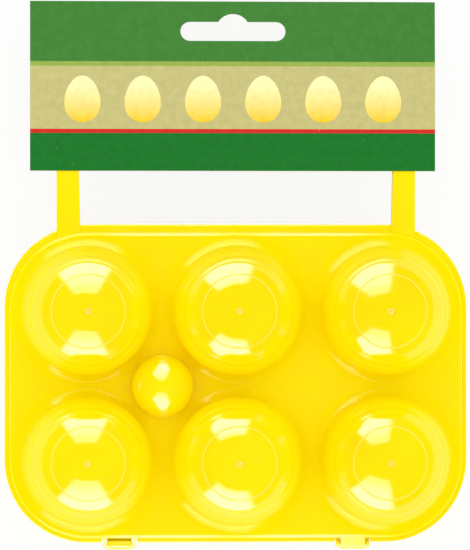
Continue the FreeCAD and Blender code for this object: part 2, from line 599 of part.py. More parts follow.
# One moulding of the case.
def moulded_half(label):
    body = doc.addObject("PartDesign::Body", label)
    body.Label = label

    sketch = sketch_on(body, "RimOutline", "XY_Plane")
    rim_outline(sketch, "Sizes.rim_margin", "Sizes.front_lip")
    flange = extrude(body, "Pad", "Flange", sketch, "Sizes.flange_thick")
    top = edges_at(flange.Shape, num("Sizes.flange_thick"))
    fillet(body, "FlangeRounding", flange, top, "Sizes.flange_edge")

    sketch = sketch_on(body, "TrayOutline", "XY_Plane")
    rim_outline(sketch, TRAY)
    tray = extrude(body, "Pad", "Tray", sketch, "Sizes.tray_depth", draft="Sizes.tray_draft")
    top = edges_at(tray.Shape, num("Sizes.tray_depth"))
    fillet(body, "TrayRounding", tray, top, "Sizes.tray_edge")

    sketch = sketch_on(body, "HandleOutline", "XY_Plane", "0", "0", "Sizes.strap_lift")
    handle_outline(sketch)
    handle = extrude(body, "Pad", "Handle", sketch, "Sizes.strap_thick")
    top = edges_at(handle.Shape, num("Sizes.strap_lift + Sizes.strap_thick"), num(RIM))
    fillet(body, "HandleRounding", handle, top, "Sizes.strap_edge")

    add_cups(body, "Revolution", "Cup", cup_outside)

    sketch = sketch_on(body, "SocketSection", "XZ_Plane", "-Sizes.cup_pitch_x / 2")
    ball_section(sketch, "Sizes.socket_radius", "Sizes.tray_depth - Sizes.wall")
    revolve(body, "Revolution", "Socket", sketch)

    sketch = sketch_on(body, "InsideOutline", "XY_Plane")
    rim_outline(sketch, "(" + TRAY + " - Sizes.wall)")
    room = "Sizes.tray_depth - Sizes.wall"
    extrude(body, "Pocket", "TrayInside", sketch, room, reverse=True, draft="Sizes.tray_draft")

    add_cups(body, "Groove", "Room", cup_inside)

    sketch = sketch_on(body, "SocketRoomSection", "XZ_Plane", "-Sizes.cup_pitch_x / 2")
    ball_section(sketch, "Sizes.socket_radius - Sizes.wall", "Sizes.flange_thick / 2")
    revolve(body, "Groove", "SocketRoom", sketch)

    sketch = sketch_on(body, "PegSection", "XZ_Plane", "Sizes.cup_pitch_x / 2")
    peg_section(sketch)
    revolve(body, "Revolution", "Peg", sketch)
    for name, along_x in (("PegSlotX", True), ("PegSlotY", False)):
        sketch = sketch_on(body, name + "Outline", "XY_Plane", "Sizes.cup_pitch_x / 2", "0", "-Sizes.peg_reach")
        peg_slot(sketch, along_x)
        extrude(body, "Pocket", name, sketch, "Sizes.peg_reach + Sizes.flange_thick", reverse=True)

    span = "(Sizes.hook_width + 2 * Sizes.hinge_side_gap + 2 * Sizes.ear_thick)"
    ear_place = "(Sizes.hook_width / 2 + Sizes.hinge_side_gap + Sizes.ear_thick / 2)"
    for name, side in (("EyeRelief", "-Sizes.hinge_spread"), ("HookRelief", "Sizes.hinge_spread")):
        sketch = sketch_on(body, name + "Outline", "YZ_Plane", "-" + HINGE_LINE, "0", side)
        ring(sketch, "Sizes.hinge_relief")
        extrude(body, "Pocket", name, sketch, span + " + 4 * Sizes.hinge_side_gap", "Symmetric")
    for name, sign in (("EarA", " - "), ("EarB", " + ")):
        place = "-Sizes.hinge_spread" + sign + ear_place
        sketch = sketch_on(body, name + "Outline", "YZ_Plane", "-" + HINGE_LINE, "0", place)
        ear_outline(sketch)
        extrude(body, "Pad", name, sketch, "Sizes.ear_thick", "Symmetric")
    sketch = sketch_on(body, "BarOutline", "YZ_Plane", "-" + HINGE_LINE, "0", "-Sizes.hinge_spread")
    ring(sketch, "Sizes.hinge_bar")
    extrude(body, "Pad", "Bar", sketch, span + " - Sizes.ear_thick", "Symmetric")
    sketch = sketch_on(body, "HookOutline", "YZ_Plane", "-" + HINGE_LINE, "0", "Sizes.hinge_spread")
    hook_outline(sketch)
    extrude(body, "Pad", "Hook", sketch, "Sizes.hook_width", "Symmetric")
    return body


# Section of the folded card, from its lower edge up over the handle bar to the fold: both panels lie flat
# on the straps and draw together above the bar.
def card_section(sketch):
    t = "Sizes.card_thick"
    front = "(Sizes.strap_lift + Sizes.strap_thick + Sizes.card_fit + Sizes.card_thick)"
    knee = "(Sizes.handle_height - Sizes.card_rise + Sizes.strap_thick)"
    top = "Sizes.card_height"
    gap = "Sizes.fold_gap / 2"
    polygon(sketch, (
        ("0", "0"),
        (knee, "0"),
        (top, front + " / 2 - " + t + " - " + gap),
        (top, front + " / 2 + " + t + " + " + gap),
        (knee, front),
        ("0", front),
        ("0", front + " - " + t),
        (knee, front + " - " + t),
        (top + " - " + t, front + " / 2 + " + gap),
        (top + " - " + t, front + " / 2 - " + gap),
        (knee, t),
        ("0", t),
    ))


# Hang slot with round ends and a hump in the middle of its upper side.
def hang_slot(sketch):
    end_radius = num("Sizes.slot_height / 2")
    end = num("(Sizes.slot_width - Sizes.slot_height) / 2")
    hump = num("Sizes.slot_hump")
    shoulder = math.sqrt(hump ** 2 - end_radius ** 2)
    rise = math.degrees(math.acos(shoulder / hump))
    bottom = line(sketch, (-end, -end_radius), (end, -end_radius))
    right = arc(sketch, (end, 0), end_radius, -90, 90)
    top_right = line(sketch, (end, end_radius), (shoulder, end_radius))
    crown = arc(sketch, (0, 0), hump, rise, 180 - rise)
    top_left = line(sketch, (-shoulder, end_radius), (-end, end_radius))
    left = arc(sketch, (-end, 0), end_radius, 90, 270)
    rule(sketch, "Tangent", bottom, 2, right, 1)
    rule(sketch, "Tangent", right, 2, top_right, 1)
    rule(sketch, "Coincident", top_right, 2, crown, 1)
    rule(sketch, "Coincident", crown, 2, top_left, 1)
    rule(sketch, "Tangent", top_left, 2, left, 1)
    rule(sketch, "Tangent", left, 2, bottom, 1)
    rule(sketch, "Coincident", crown, 3, -1, 1)
    rule(sketch, "PointOnObject", right, 3, -1)
    rule(sketch, "Symmetric", left, 3, right, 3, -1, 1)
    rule(sketch, "Equal", left, right)
    rule(sketch, "Horizontal", top_right)
    rule(sketch, "Horizontal", top_left)
    drive(sketch, "end_radius", "Sizes.slot_height / 2", "Radius", right)
    drive(sketch, "end", "(Sizes.slot_width - Sizes.slot_height) / 2", "DistanceX", -1, 1, right, 3)
    drive(sketch, "hump", "Sizes.slot_hump", "Radius", crown)


def folded_card(label):
    body = doc.addObject("PartDesign::Body", label)
    body.Label = label
    sketch = sketch_on(body, "FoldSection", "YZ_Plane")
    card_section(sketch)
    extrude(body, "Pad", "Fold", sketch, "Sizes.card_width", "Symmetric")
    sketch = sketch_on(body, "SlotOutline", "XY_Plane", "0", "Sizes.card_height - Sizes.slot_drop")
    hang_slot(sketch)
    extrude(body, "Pocket", "HangSlot", sketch, "4 * (Sizes.strap_thick + Sizes.card_thick)", "Symmetric")
    return body


pieces = []
for label, turned in (("upper_half", False), ("lower_half", True)):
    half = moulded_half(label)
    angle = 180 if turned else 0
    turn = FreeCAD.Rotation(FreeCAD.Vector(0, 1, 0), angle)
    half.Placement = FreeCAD.Placement(FreeCAD.Vector(0, 0, 0), turn)
    half.setExpression("Placement.Base.y", "-" + CENTRE_Y)
    half.setExpression("Placement.Base.z", "Sizes.half_depth")
    pieces.append(half)
card = folded_card("header_card")
card.setExpression("Placement.Base.x", "-Sizes.card_shift")
card.setExpression("Placement.Base.y", RIM + " + Sizes.card_rise - " + CENTRE_Y)
card.setExpression("Placement.Base.z", "Sizes.half_depth")
pieces.append(card)
doc.recompute()

for item in doc.Objects:
    if "Invalid" in item.State or "Error" in item.State:
        raise RuntimeError(item.Name + " did not compute")

os.makedirs("parts", exist_ok=True)
for item in pieces:
    if item.Shape.isNull() or not item.Shape.isValid() or len(item.Shape.Solids) != 1:
        raise RuntimeError(item.Label + " is not one valid solid")
    item.Shape.exportStep("parts/" + item.Label + ".step")
    print(item.Label, round(item.Shape.Volume), item.Shape.optimalBoundingBox(False))
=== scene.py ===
import math

import bmesh
import bpy
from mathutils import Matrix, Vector


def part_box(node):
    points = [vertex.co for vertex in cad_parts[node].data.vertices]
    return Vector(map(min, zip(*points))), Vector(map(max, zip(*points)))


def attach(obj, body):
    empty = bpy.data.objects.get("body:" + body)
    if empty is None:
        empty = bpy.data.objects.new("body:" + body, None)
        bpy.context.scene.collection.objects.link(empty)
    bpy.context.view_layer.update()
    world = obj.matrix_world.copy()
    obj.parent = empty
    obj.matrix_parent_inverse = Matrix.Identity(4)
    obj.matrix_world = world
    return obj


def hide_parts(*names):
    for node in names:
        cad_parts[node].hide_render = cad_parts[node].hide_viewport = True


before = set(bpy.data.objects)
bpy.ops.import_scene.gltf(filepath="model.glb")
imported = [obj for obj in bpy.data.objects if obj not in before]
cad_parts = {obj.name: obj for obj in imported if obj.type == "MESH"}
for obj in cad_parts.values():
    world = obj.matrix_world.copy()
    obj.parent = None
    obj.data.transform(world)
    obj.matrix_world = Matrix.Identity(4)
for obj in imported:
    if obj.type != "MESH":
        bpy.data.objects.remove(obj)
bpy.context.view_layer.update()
scene = bpy.context.scene
scene.view_settings.view_transform = "Standard"


# Case halves
# Two mouldings of one shape in high-density polyethylene, hooked to each other along the hinge. Each is a
# thin shell with six egg cups, a ball socket, a snap peg and a loop of the carry handle.
MM = 0.001
CUP_PITCH_X = 59.2 * MM
CUP_PITCH_Y = 59.5 * MM
HINGE_TO_MIDDLE = 65.57 * MM
hinge_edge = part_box("upper_half")[0].y
row_middle = hinge_edge + HINGE_TO_MIDDLE

# Radii from the axis of a cup, in millimetres.
CAP_LINE = 14.45
CAP_LINE_HALF_WIDTH = 0.45
CAP_EDGE = 17.0
CUP_WALL_FROM = 19.0
CUP_WALL_MIDDLE = 24.0
CUP_WALL_TO = 26.5
WALL_BLEND = 2.0
CUP_FOOT_FROM = 22.0
CUP_FOOT_TO = 29.0
FOOT_BLEND = 3.0
WEB_EDGE = 30.0
WEB_FROM = 33.0

# Lengths of the patterns in the plastic, in millimetres, and their heights.
FLOW_LENGTH = 40.0
SCUFF_LENGTH = 8.0
RING_PITCH = 2.5
RING_HEIGHT = 0.10 * MM
CAP_LINE_DEPTH = 0.20 * MM
WAVE_LENGTH = 11.0
WAVE_HEIGHT = 0.10 * MM
RIPPLE_LENGTH = 2.5
RIPPLE_HEIGHT = 0.006 * MM

# How far the finish of the walls and the cap line departs from that of the caps.
# The first of these is painted light on the walls and the web.
WALL_PAINTED_LIGHT = 0.45
WALL_ROUGHER = 0.10
FOOT_LEAN = 0.42
# The next is a painted highlight along the cap line.
CAP_LINE_HIGHLIGHT = 0.7
CAP_SHINE = 0.5
WALL_SHINE = 0.1


def linear(hex_colour):
    channels = [int(hex_colour[i:i + 2], 16) / 255 for i in (1, 3, 5)]
    return tuple(c / 12.92 if c <= 0.04045 else ((c + 0.055) / 1.055) ** 2.4 for c in channels) + (1.0,)


def node(tree, kind, inputs, **settings):
    made = tree.nodes.new("ShaderNode" + kind)
    for name, value in settings.items():
        setattr(made, name, value)
    for socket, value in inputs.items():
        if isinstance(value, bpy.types.NodeSocket):
            tree.links.new(value, made.inputs[socket])
        else:
            made.inputs[socket].default_value = value
    return made


def blank_material(name):
    material = bpy.data.materials.new(name)
    material.use_nodes = True
    material.node_tree.nodes.clear()
    return material


# Injection-moulded polyethylene: saturated yellow right through, glossy from a polished mould but never
# quite flat, with broad sink waves and faint turning rings of the cup inserts that break up its reflections.
# Light is painted onto its walls and web, and a highlight along the parting line of each cap.
def moulded_polyethylene():
    material = blank_material("moulded_polyethylene")
    tree = material.node_tree
    place = node(tree, "TexCoord", {}).outputs["Object"]
    in_mm = node(tree, "VectorMath", {0: place, "Scale": 1 / MM}, operation="SCALE").outputs[0]

    # Melt flow shifts the yellow a little from place to place.
    flow = node(tree, "TexNoise", {"Vector": in_mm, "Scale": 1 / FLOW_LENGTH, "Detail": 2.0}).outputs["Fac"]
    yellow = node(tree, "ValToRGB", {"Fac": flow})
    yellow.color_ramp.elements[0].position = 0.3
    yellow.color_ramp.elements[0].color = linear("#FFD800")
    yellow.color_ramp.elements[1].position = 0.7
    yellow.color_ramp.elements[1].color = linear("#FFE100")

    # Distance from the axis of the nearest cup, in millimetres.
    spot = node(tree, "SeparateXYZ", {0: in_mm})
    half_pitch_x = CUP_PITCH_X / MM / 2
    half_pitch_y = CUP_PITCH_Y / MM / 2
    column = {0: spot.outputs[0], 1: half_pitch_x, 2: -half_pitch_x}
    across = node(tree, "Math", column, operation="WRAP").outputs[0]
    middle = {0: spot.outputs[1], 1: row_middle / MM}
    from_middle = node(tree, "Math", middle, operation="SUBTRACT").outputs[0]
    beside = node(tree, "Math", {0: from_middle}, operation="ABSOLUTE").outputs[0]
    along = node(tree, "Math", {0: beside, 1: half_pitch_y}, operation="SUBTRACT").outputs[0]
    flat = node(tree, "CombineXYZ", {0: across, 1: along}).outputs[0]
    radius = node(tree, "VectorMath", {0: flat}, operation="LENGTH").outputs["Value"]

    # Painted light: the walls and the web are painted a lighter yellow than the caps, as if more light fell
    # on them.
    cap_to_wall = {0: radius, 1: CAP_LINE, 2: CUP_WALL_MIDDLE, 3: 0.0, 4: WALL_PAINTED_LIGHT}
    painted_light_share = node(tree, "MapRange", cap_to_wall).outputs[0]
    painted_light_mix = {0: painted_light_share, 6: yellow.outputs["Color"], 7: linear("#FFEC00")}
    shade = node(tree, "Mix", painted_light_mix, data_type="RGBA").outputs[2]

    # The foot of a cup runs out softly: its shading leans towards the face of the tray.
    to_foot = {0: radius, 1: CUP_FOOT_FROM, 2: CUP_FOOT_FROM + FOOT_BLEND, 3: 0.0, 4: FOOT_LEAN}
    near_foot = node(tree, "MapRange", to_foot).outputs[0]
    past_foot = {0: radius, 1: CUP_FOOT_TO - FOOT_BLEND, 2: CUP_FOOT_TO, 3: 1.0, 4: 0.0}
    off_foot = node(tree, "MapRange", past_foot).outputs[0]
    lean = node(tree, "Math", {0: near_foot, 1: off_foot}, operation="MULTIPLY").outputs[0]
    facing = node(tree, "SeparateXYZ", {0: node(tree, "TexCoord", {}).outputs["Normal"]})
    outward = node(tree, "Math", {0: facing.outputs[2]}, operation="SIGN").outputs[0]
    leaning = node(tree, "Math", {0: outward, 1: lean}, operation="MULTIPLY").outputs[0]
    upright = {0: node(tree, "CombineXYZ", {2: leaning}).outputs[0]}
    turned = node(tree, "VectorTransform", upright, convert_from="OBJECT", convert_to="WORLD").outputs[0]
    face = node(tree, "NewGeometry", {}).outputs["Normal"]
    summed = node(tree, "VectorMath", {0: face, 1: turned}, operation="ADD").outputs[0]
    soft_face = node(tree, "VectorMath", {0: summed}, operation="NORMALIZE").outputs[0]

    # Turning rings on the cup walls.
    turn = node(tree, "Math", {0: radius, 1: 2 * math.pi / RING_PITCH}, operation="MULTIPLY").outputs[0]
    rings = node(tree, "Math", {0: turn}, operation="SINE").outputs[0]
    rising = node(tree, "MapRange", {0: radius, 1: CUP_WALL_FROM, 2: CUP_WALL_FROM + WALL_BLEND}).outputs[0]
    past_wall = {0: radius, 1: CUP_WALL_TO - WALL_BLEND, 2: CUP_WALL_TO, 3: 1.0, 4: 0.0}
    falling = node(tree, "MapRange", past_wall).outputs[0]
    on_wall = node(tree, "Math", {0: rising, 1: falling}, operation="MULTIPLY").outputs[0]
    ring_form = node(tree, "Math", {0: rings, 1: on_wall}, operation="MULTIPLY").outputs[0]
    ring_bump = {"Height": ring_form, "Distance": RING_HEIGHT, "Normal": soft_face}
    ringed = node(tree, "Bump", ring_bump).outputs[0]

    # Parting line of the cap insert, a groove with a painted highlight: a pale line painted along it.
    from_line = node(tree, "Math", {0: radius, 1: CAP_LINE}, operation="SUBTRACT").outputs[0]
    off_line = node(tree, "Math", {0: from_line}, operation="ABSOLUTE").outputs[0]
    groove_side = {0: off_line, 1: 0.0, 2: CAP_LINE_HALF_WIDTH}
    groove = node(tree, "MapRange", groove_side, interpolation_type="SMOOTHSTEP").outputs[0]
    grooved = node(tree, "Bump", {"Height": groove, "Distance": CAP_LINE_DEPTH, "Normal": ringed}).outputs[0]
    line_highlight_share = node(tree, "MapRange", {0: groove, 3: CAP_LINE_HIGHLIGHT, 4: 0.0}).outputs[0]
    yellow_with_painted_light = node(tree, "Mix", {0: line_highlight_share, 6: shade, 7: linear("#FFF060")}, data_type="RGBA").outputs[2]

    # Broad sink waves and a finer ripple.
    broad = {"Vector": in_mm, "Scale": 1 / WAVE_LENGTH, "Detail": 1.0}
    waves = node(tree, "TexNoise", broad).outputs["Fac"]
    waved = node(tree, "Bump", {"Height": waves, "Distance": WAVE_HEIGHT, "Normal": grooved}).outputs[0]
    fine = {"Vector": in_mm, "Scale": 1 / RIPPLE_LENGTH, "Detail": 2.0}
    ripple = node(tree, "TexNoise", fine).outputs["Fac"]
    rippled = node(tree, "Bump", {"Height": ripple, "Distance": RIPPLE_HEIGHT, "Normal": waved}).outputs[0]

    # Handling dulls the polish in soft patches. The turned cup walls are less polished than the caps, and
    # their lower half has the least shine.
    patches = {"Vector": in_mm, "Scale": 1 / SCUFF_LENGTH, "Detail": 5.0, "Roughness": 0.65}
    scuff = node(tree, "TexNoise", patches).outputs["Fac"]
    polish = node(tree, "MapRange", {0: scuff, 1: 0.35, 2: 0.75, 3: 0.07, 4: 0.13}).outputs[0]
    dull = node(tree, "Math", {0: on_wall, 1: WALL_ROUGHER, 2: polish}, operation="MULTIPLY_ADD").outputs[0]
    down_wall = node(tree, "MapRange", {0: radius, 1: CAP_EDGE, 2: CUP_WALL_MIDDLE}).outputs[0]
    off_web = node(tree, "MapRange", {0: radius, 1: WEB_EDGE, 2: WEB_FROM, 3: 1.0, 4: 0.0}).outputs[0]
    matt = node(tree, "Math", {0: down_wall, 1: off_web}, operation="MULTIPLY").outputs[0]
    shine = node(tree, "MapRange", {0: matt, 3: CAP_SHINE, 4: WALL_SHINE}).outputs[0]

    shader = node(tree, "BsdfPrincipled", {
        "Base Color": yellow_with_painted_light,
        "Roughness": dull,
        "IOR": 1.54,
        "Specular IOR Level": shine,
        "Subsurface Weight": 0.12,
        "Subsurface Radius": (1.0, 0.6, 0.05),
        "Subsurface Scale": 1.0 * MM,
        "Normal": rippled,
    })
    node(tree, "OutputMaterial", {"Surface": shader.outputs[0]})
    return material


polyethylene = moulded_polyethylene()
for half in ("lower_half", "upper_half"):
    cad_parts[half].data.materials[0] = polyethylene


# Gate marks
# Each cup is filled through its foot, and the runner breaks off there. A torn ring of stress-whitened
# polyethylene is left in the gate recess, below the face that the case stands on.
GATE_DEPTH = 0.4 * MM
TORN_RADIUS = 1.12 * MM
TORN_OUT_OF_ROUND = 0.14
TORN_HALF_WIDTH = 0.24 * MM
TORN_CREST = 0.3 * TORN_HALF_WIDTH
TORN_HEIGHT = 0.34 * MM
TORN_RAGGED = 0.2
TORN_STEPS = 28
LEAN_BY_COLUMN = 1.7
LEAN_BY_ROW = 4.0

# Length of the pattern in the tear, in millimetres, and its height.
TEAR_LENGTH = 0.7
TEAR_HEIGHT = 0.05 * MM


# The tear is paler than the moulding and matt.
def whitened_polyethylene():
    material = blank_material("stress_whitened_polyethylene")
    tree = material.node_tree
    place = node(tree, "TexCoord", {}).outputs["Object"]
    in_mm = node(tree, "VectorMath", {0: place, "Scale": 1 / MM}, operation="SCALE").outputs[0]
    tear = node(tree, "TexNoise", {"Vector": in_mm, "Scale": 1 / TEAR_LENGTH, "Detail": 3.0}).outputs["Fac"]
    pale = node(tree, "ValToRGB", {"Fac": tear})
    pale.color_ramp.elements[0].position = 0.35
    pale.color_ramp.elements[0].color = linear("#FFEB5A")
    pale.color_ramp.elements[1].position = 0.6
    pale.color_ramp.elements[1].color = linear("#FFF8C8")
    ragged = node(tree, "Bump", {"Height": tear, "Distance": TEAR_HEIGHT})
    shader = node(tree, "BsdfPrincipled", {
        "Base Color": pale.outputs["Color"],
        "Roughness": 0.5,
        "IOR": 1.54,
        "Normal": ragged.outputs[0],
    })
    node(tree, "OutputMaterial", {"Surface": shader.outputs[0]})
    return material


# Six low rings with a narrow crest, each a little out of round and leaning its own way.
def gate_marks(name, foot, outward):
    mesh = bpy.data.meshes.new(name)
    form = bmesh.new()
    floor = foot - outward * GATE_DEPTH
    section = ((-TORN_HALF_WIDTH, 0.0), (-TORN_CREST, 1.0), (TORN_CREST, 1.0), (TORN_HALF_WIDTH, 0.0))
    for row in (0.5, -0.5):
        for column in (-1, 0, 1):
            x = column * CUP_PITCH_X
            y = row_middle + row * CUP_PITCH_Y
            lean = LEAN_BY_COLUMN * column + LEAN_BY_ROW * row
            loops = []
            for i in range(TORN_STEPS):
                turn = 2 * math.pi * i / TORN_STEPS
                radius = TORN_RADIUS * (1 - TORN_OUT_OF_ROUND * (1 - math.cos(turn - lean)))
                height = TORN_HEIGHT * (1 - TORN_RAGGED * (1 - math.sin(3 * turn + lean)))
                loop = []
                for aside, rise in section:
                    reach = radius + aside
                    z = floor + outward * height * rise
                    loop.append(form.verts.new((x + reach * math.cos(turn), y + reach * math.sin(turn), z)))
                loops.append(loop)
            for i in range(TORN_STEPS):
                for k in range(len(section)):
                    form.faces.new((loops[i - 1][k - 1], loops[i - 1][k], loops[i][k], loops[i][k - 1]))
    bmesh.ops.recalc_face_normals(form, faces=form.faces)
    for face in form.faces:
        face.smooth = True
    form.to_mesh(mesh)
    form.free()
    marks = bpy.data.objects.new(name, mesh)
    scene.collection.objects.link(marks)
    mesh.materials.append(torn_polyethylene)
    return marks


torn_polyethylene = whitened_polyethylene()
for name, body, half, corner, outward in (
        ("gate_marks_lower", "base", "lower_half", 0, -1),
        ("gate_marks_upper", "lid", "upper_half", 1, 1)):
    marks = gate_marks(name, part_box(half)[corner].z, outward)
    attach(marks, body)


# Folded card
# A hang card of coated paperboard, printed on its outer side, die-cut with a hang slot and folded over the
# bar of the upper handle loop. Its cut edges and its inner side show the bare grey-white board.
BOARD = 0.36 * MM
KNEE_RISE = 21.3 * MM
FOLD_RADIUS = 0.22 * MM
FOLD_STEPS = 6
SLOT_DROP = 12.0 * MM
SLOT_HALF_WIDTH = 21.0 * MM
SLOT_END = 3.8 * MM
SLOT_HUMP = 7.0 * MM
ARC_STEPS = 12
BOW = 0.25 * MM
PANEL_CUTS_X = 22
PANEL_CUTS_Y = 12
card_low, card_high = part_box("header_card")
card_middle = (card_low.x + card_high.x) / 2
card_level = (card_low.z + card_high.z) / 2
card_half_width = (card_high.x - card_low.x) / 2
card_height = card_high.y - card_low.y
panel_top = card_height - BOARD / 2 - FOLD_RADIUS

# The print, in millimetres: the level above the lower edge at which each band begins, and the row of eggs.
PRINT_BANDS = (
    (15.0, "#CF2E2A"),
    (16.5, "#C0B97A"),
    (41.5, "#93AC4E"),
    (43.5, "#437F37"),
)
EGG_PITCH = 24.0
EGGS_EACH_SIDE = 3
EGG_LEVEL = 28.6
EGG_HALF_WIDTH = 7.2
EGG_HALF_HEIGHT = 9.4
EGG_TAPER = 0.16

# Patterns of ink and board: lengths in millimetres, fibres per millimetre along X, Y and Z, and heights.
MOTTLE_LENGTH = 3.0
MOTTLE_HEIGHT = 0.012 * MM
FLECK_LENGTH = 0.8
FIBRES_PER_MM = (0.3, 1.2, 1.2)
FIBRE_HEIGHT = 0.02 * MM


# A slot with round ends and a hump in the middle of its upper side.
def slot_outline():
    centre = card_height - SLOT_DROP
    end_x = SLOT_HALF_WIDTH - SLOT_END
    shoulder = math.asin(SLOT_END / SLOT_HUMP)
    points = []
    for i in range(ARC_STEPS + 1):
        turn = -math.pi / 2 + math.pi * i / ARC_STEPS
        points.append((end_x + SLOT_END * math.cos(turn), centre + SLOT_END * math.sin(turn)))
    for i in range(ARC_STEPS + 1):
        turn = shoulder + (math.pi - 2 * shoulder) * i / ARC_STEPS
        points.append((SLOT_HUMP * math.cos(turn), centre + SLOT_HUMP * math.sin(turn)))
    for i in range(ARC_STEPS + 1):
        turn = math.pi / 2 + math.pi * i / ARC_STEPS
        points.append((-end_x + SLOT_END * math.cos(turn), centre + SLOT_END * math.sin(turn)))
    return points


# Both panels lie flat on the strap up to the bar, then draw together to the fold.
def panel_height(x, y, front):
    flat = card_high.z - card_level - BOARD / 2
    share = min(1.0, max(0.0, (y - KNEE_RISE) / (panel_top - KNEE_RISE)))
    drawn_in = share ** 2 * (1.6 - 0.6 * share)
    lift = flat + (FOLD_RADIUS - flat) * drawn_in
    if front:
        lift += BOW * (1 - share) * math.cos(math.pi * x / (2 * card_half_width)) ** 2
        return card_level + lift
    return card_level - lift


# The front panel is filled between its rim and the slot and cut into a grid. Its copy is the back panel, and
# a half round of narrow strips joins the two along the fold.
def folded_card():
    mesh = bpy.data.meshes.new("header_card_folded")
    form = bmesh.new()
    left, right = -card_half_width, card_half_width
    rim = [(left, 0.0), (right, 0.0), (right, panel_top), (left, panel_top)]
    edges = []
    for loop in (rim, slot_outline()):
        verts = [form.verts.new((x, y, 0.0)) for x, y in loop]
        edges += [form.edges.new((verts[i - 1], verts[i])) for i in range(len(verts))]
    bmesh.ops.triangle_fill(form, use_beauty=True, edges=edges)
    for cuts, side in ((PANEL_CUTS_X, Vector((1, 0, 0))), (PANEL_CUTS_Y, Vector((0, 1, 0)))):
        for i in range(1, cuts):
            share = i / cuts
            spot = Vector((card_half_width * (2 * share - 1), panel_top * share, 0))
            panel = form.verts[:] + form.edges[:] + form.faces[:]
            bmesh.ops.bisect_plane(form, geom=panel, plane_co=spot, plane_no=side)
    front = form.verts[:]
    for face in form.faces:
        if face.normal.z < 0:
            face.normal_flip()
    copy = bmesh.ops.duplicate(form, geom=form.verts[:] + form.edges[:] + form.faces[:])["geom"]
    back = [item for item in copy if isinstance(item, bmesh.types.BMVert)]
    for item in copy:
        if isinstance(item, bmesh.types.BMFace):
            item.normal_flip()
    crease = []
    for verts, is_front in ((front, True), (back, False)):
        for vert in verts:
            vert.co.z = panel_height(vert.co.x, vert.co.y, is_front)
        edge = [vert for vert in verts if abs(vert.co.y - panel_top) < 1e-7]
        crease.append(sorted(edge, key=lambda vert: vert.co.x))
    rows = [crease[0]]
    for step in range(1, FOLD_STEPS):
        turn = math.pi * step / FOLD_STEPS
        y = panel_top + FOLD_RADIUS * math.sin(turn)
        z = card_level + FOLD_RADIUS * math.cos(turn)
        rows.append([form.verts.new((vert.co.x, y, z)) for vert in crease[0]])
    rows.append(crease[1])
    for low, high in zip(rows, rows[1:]):
        for i in range(1, len(low)):
            form.faces.new((low[i - 1], low[i], high[i], high[i - 1]))
    for vert in form.verts:
        vert.co.x += card_middle
        vert.co.y += card_low.y
    for face in form.faces:
        face.smooth = True
    form.to_mesh(mesh)
    form.free()
    card = bpy.data.objects.new("header_card_folded", mesh)
    scene.collection.objects.link(card)
    board = card.modifiers.new("board", "SOLIDIFY")
    board.thickness = BOARD
    board.offset = 0.0
    board.material_offset = 1
    board.material_offset_rim = 1
    crisp = card.modifiers.new("crisp_edges", "WEIGHTED_NORMAL")
    crisp.weight = 90
    return card


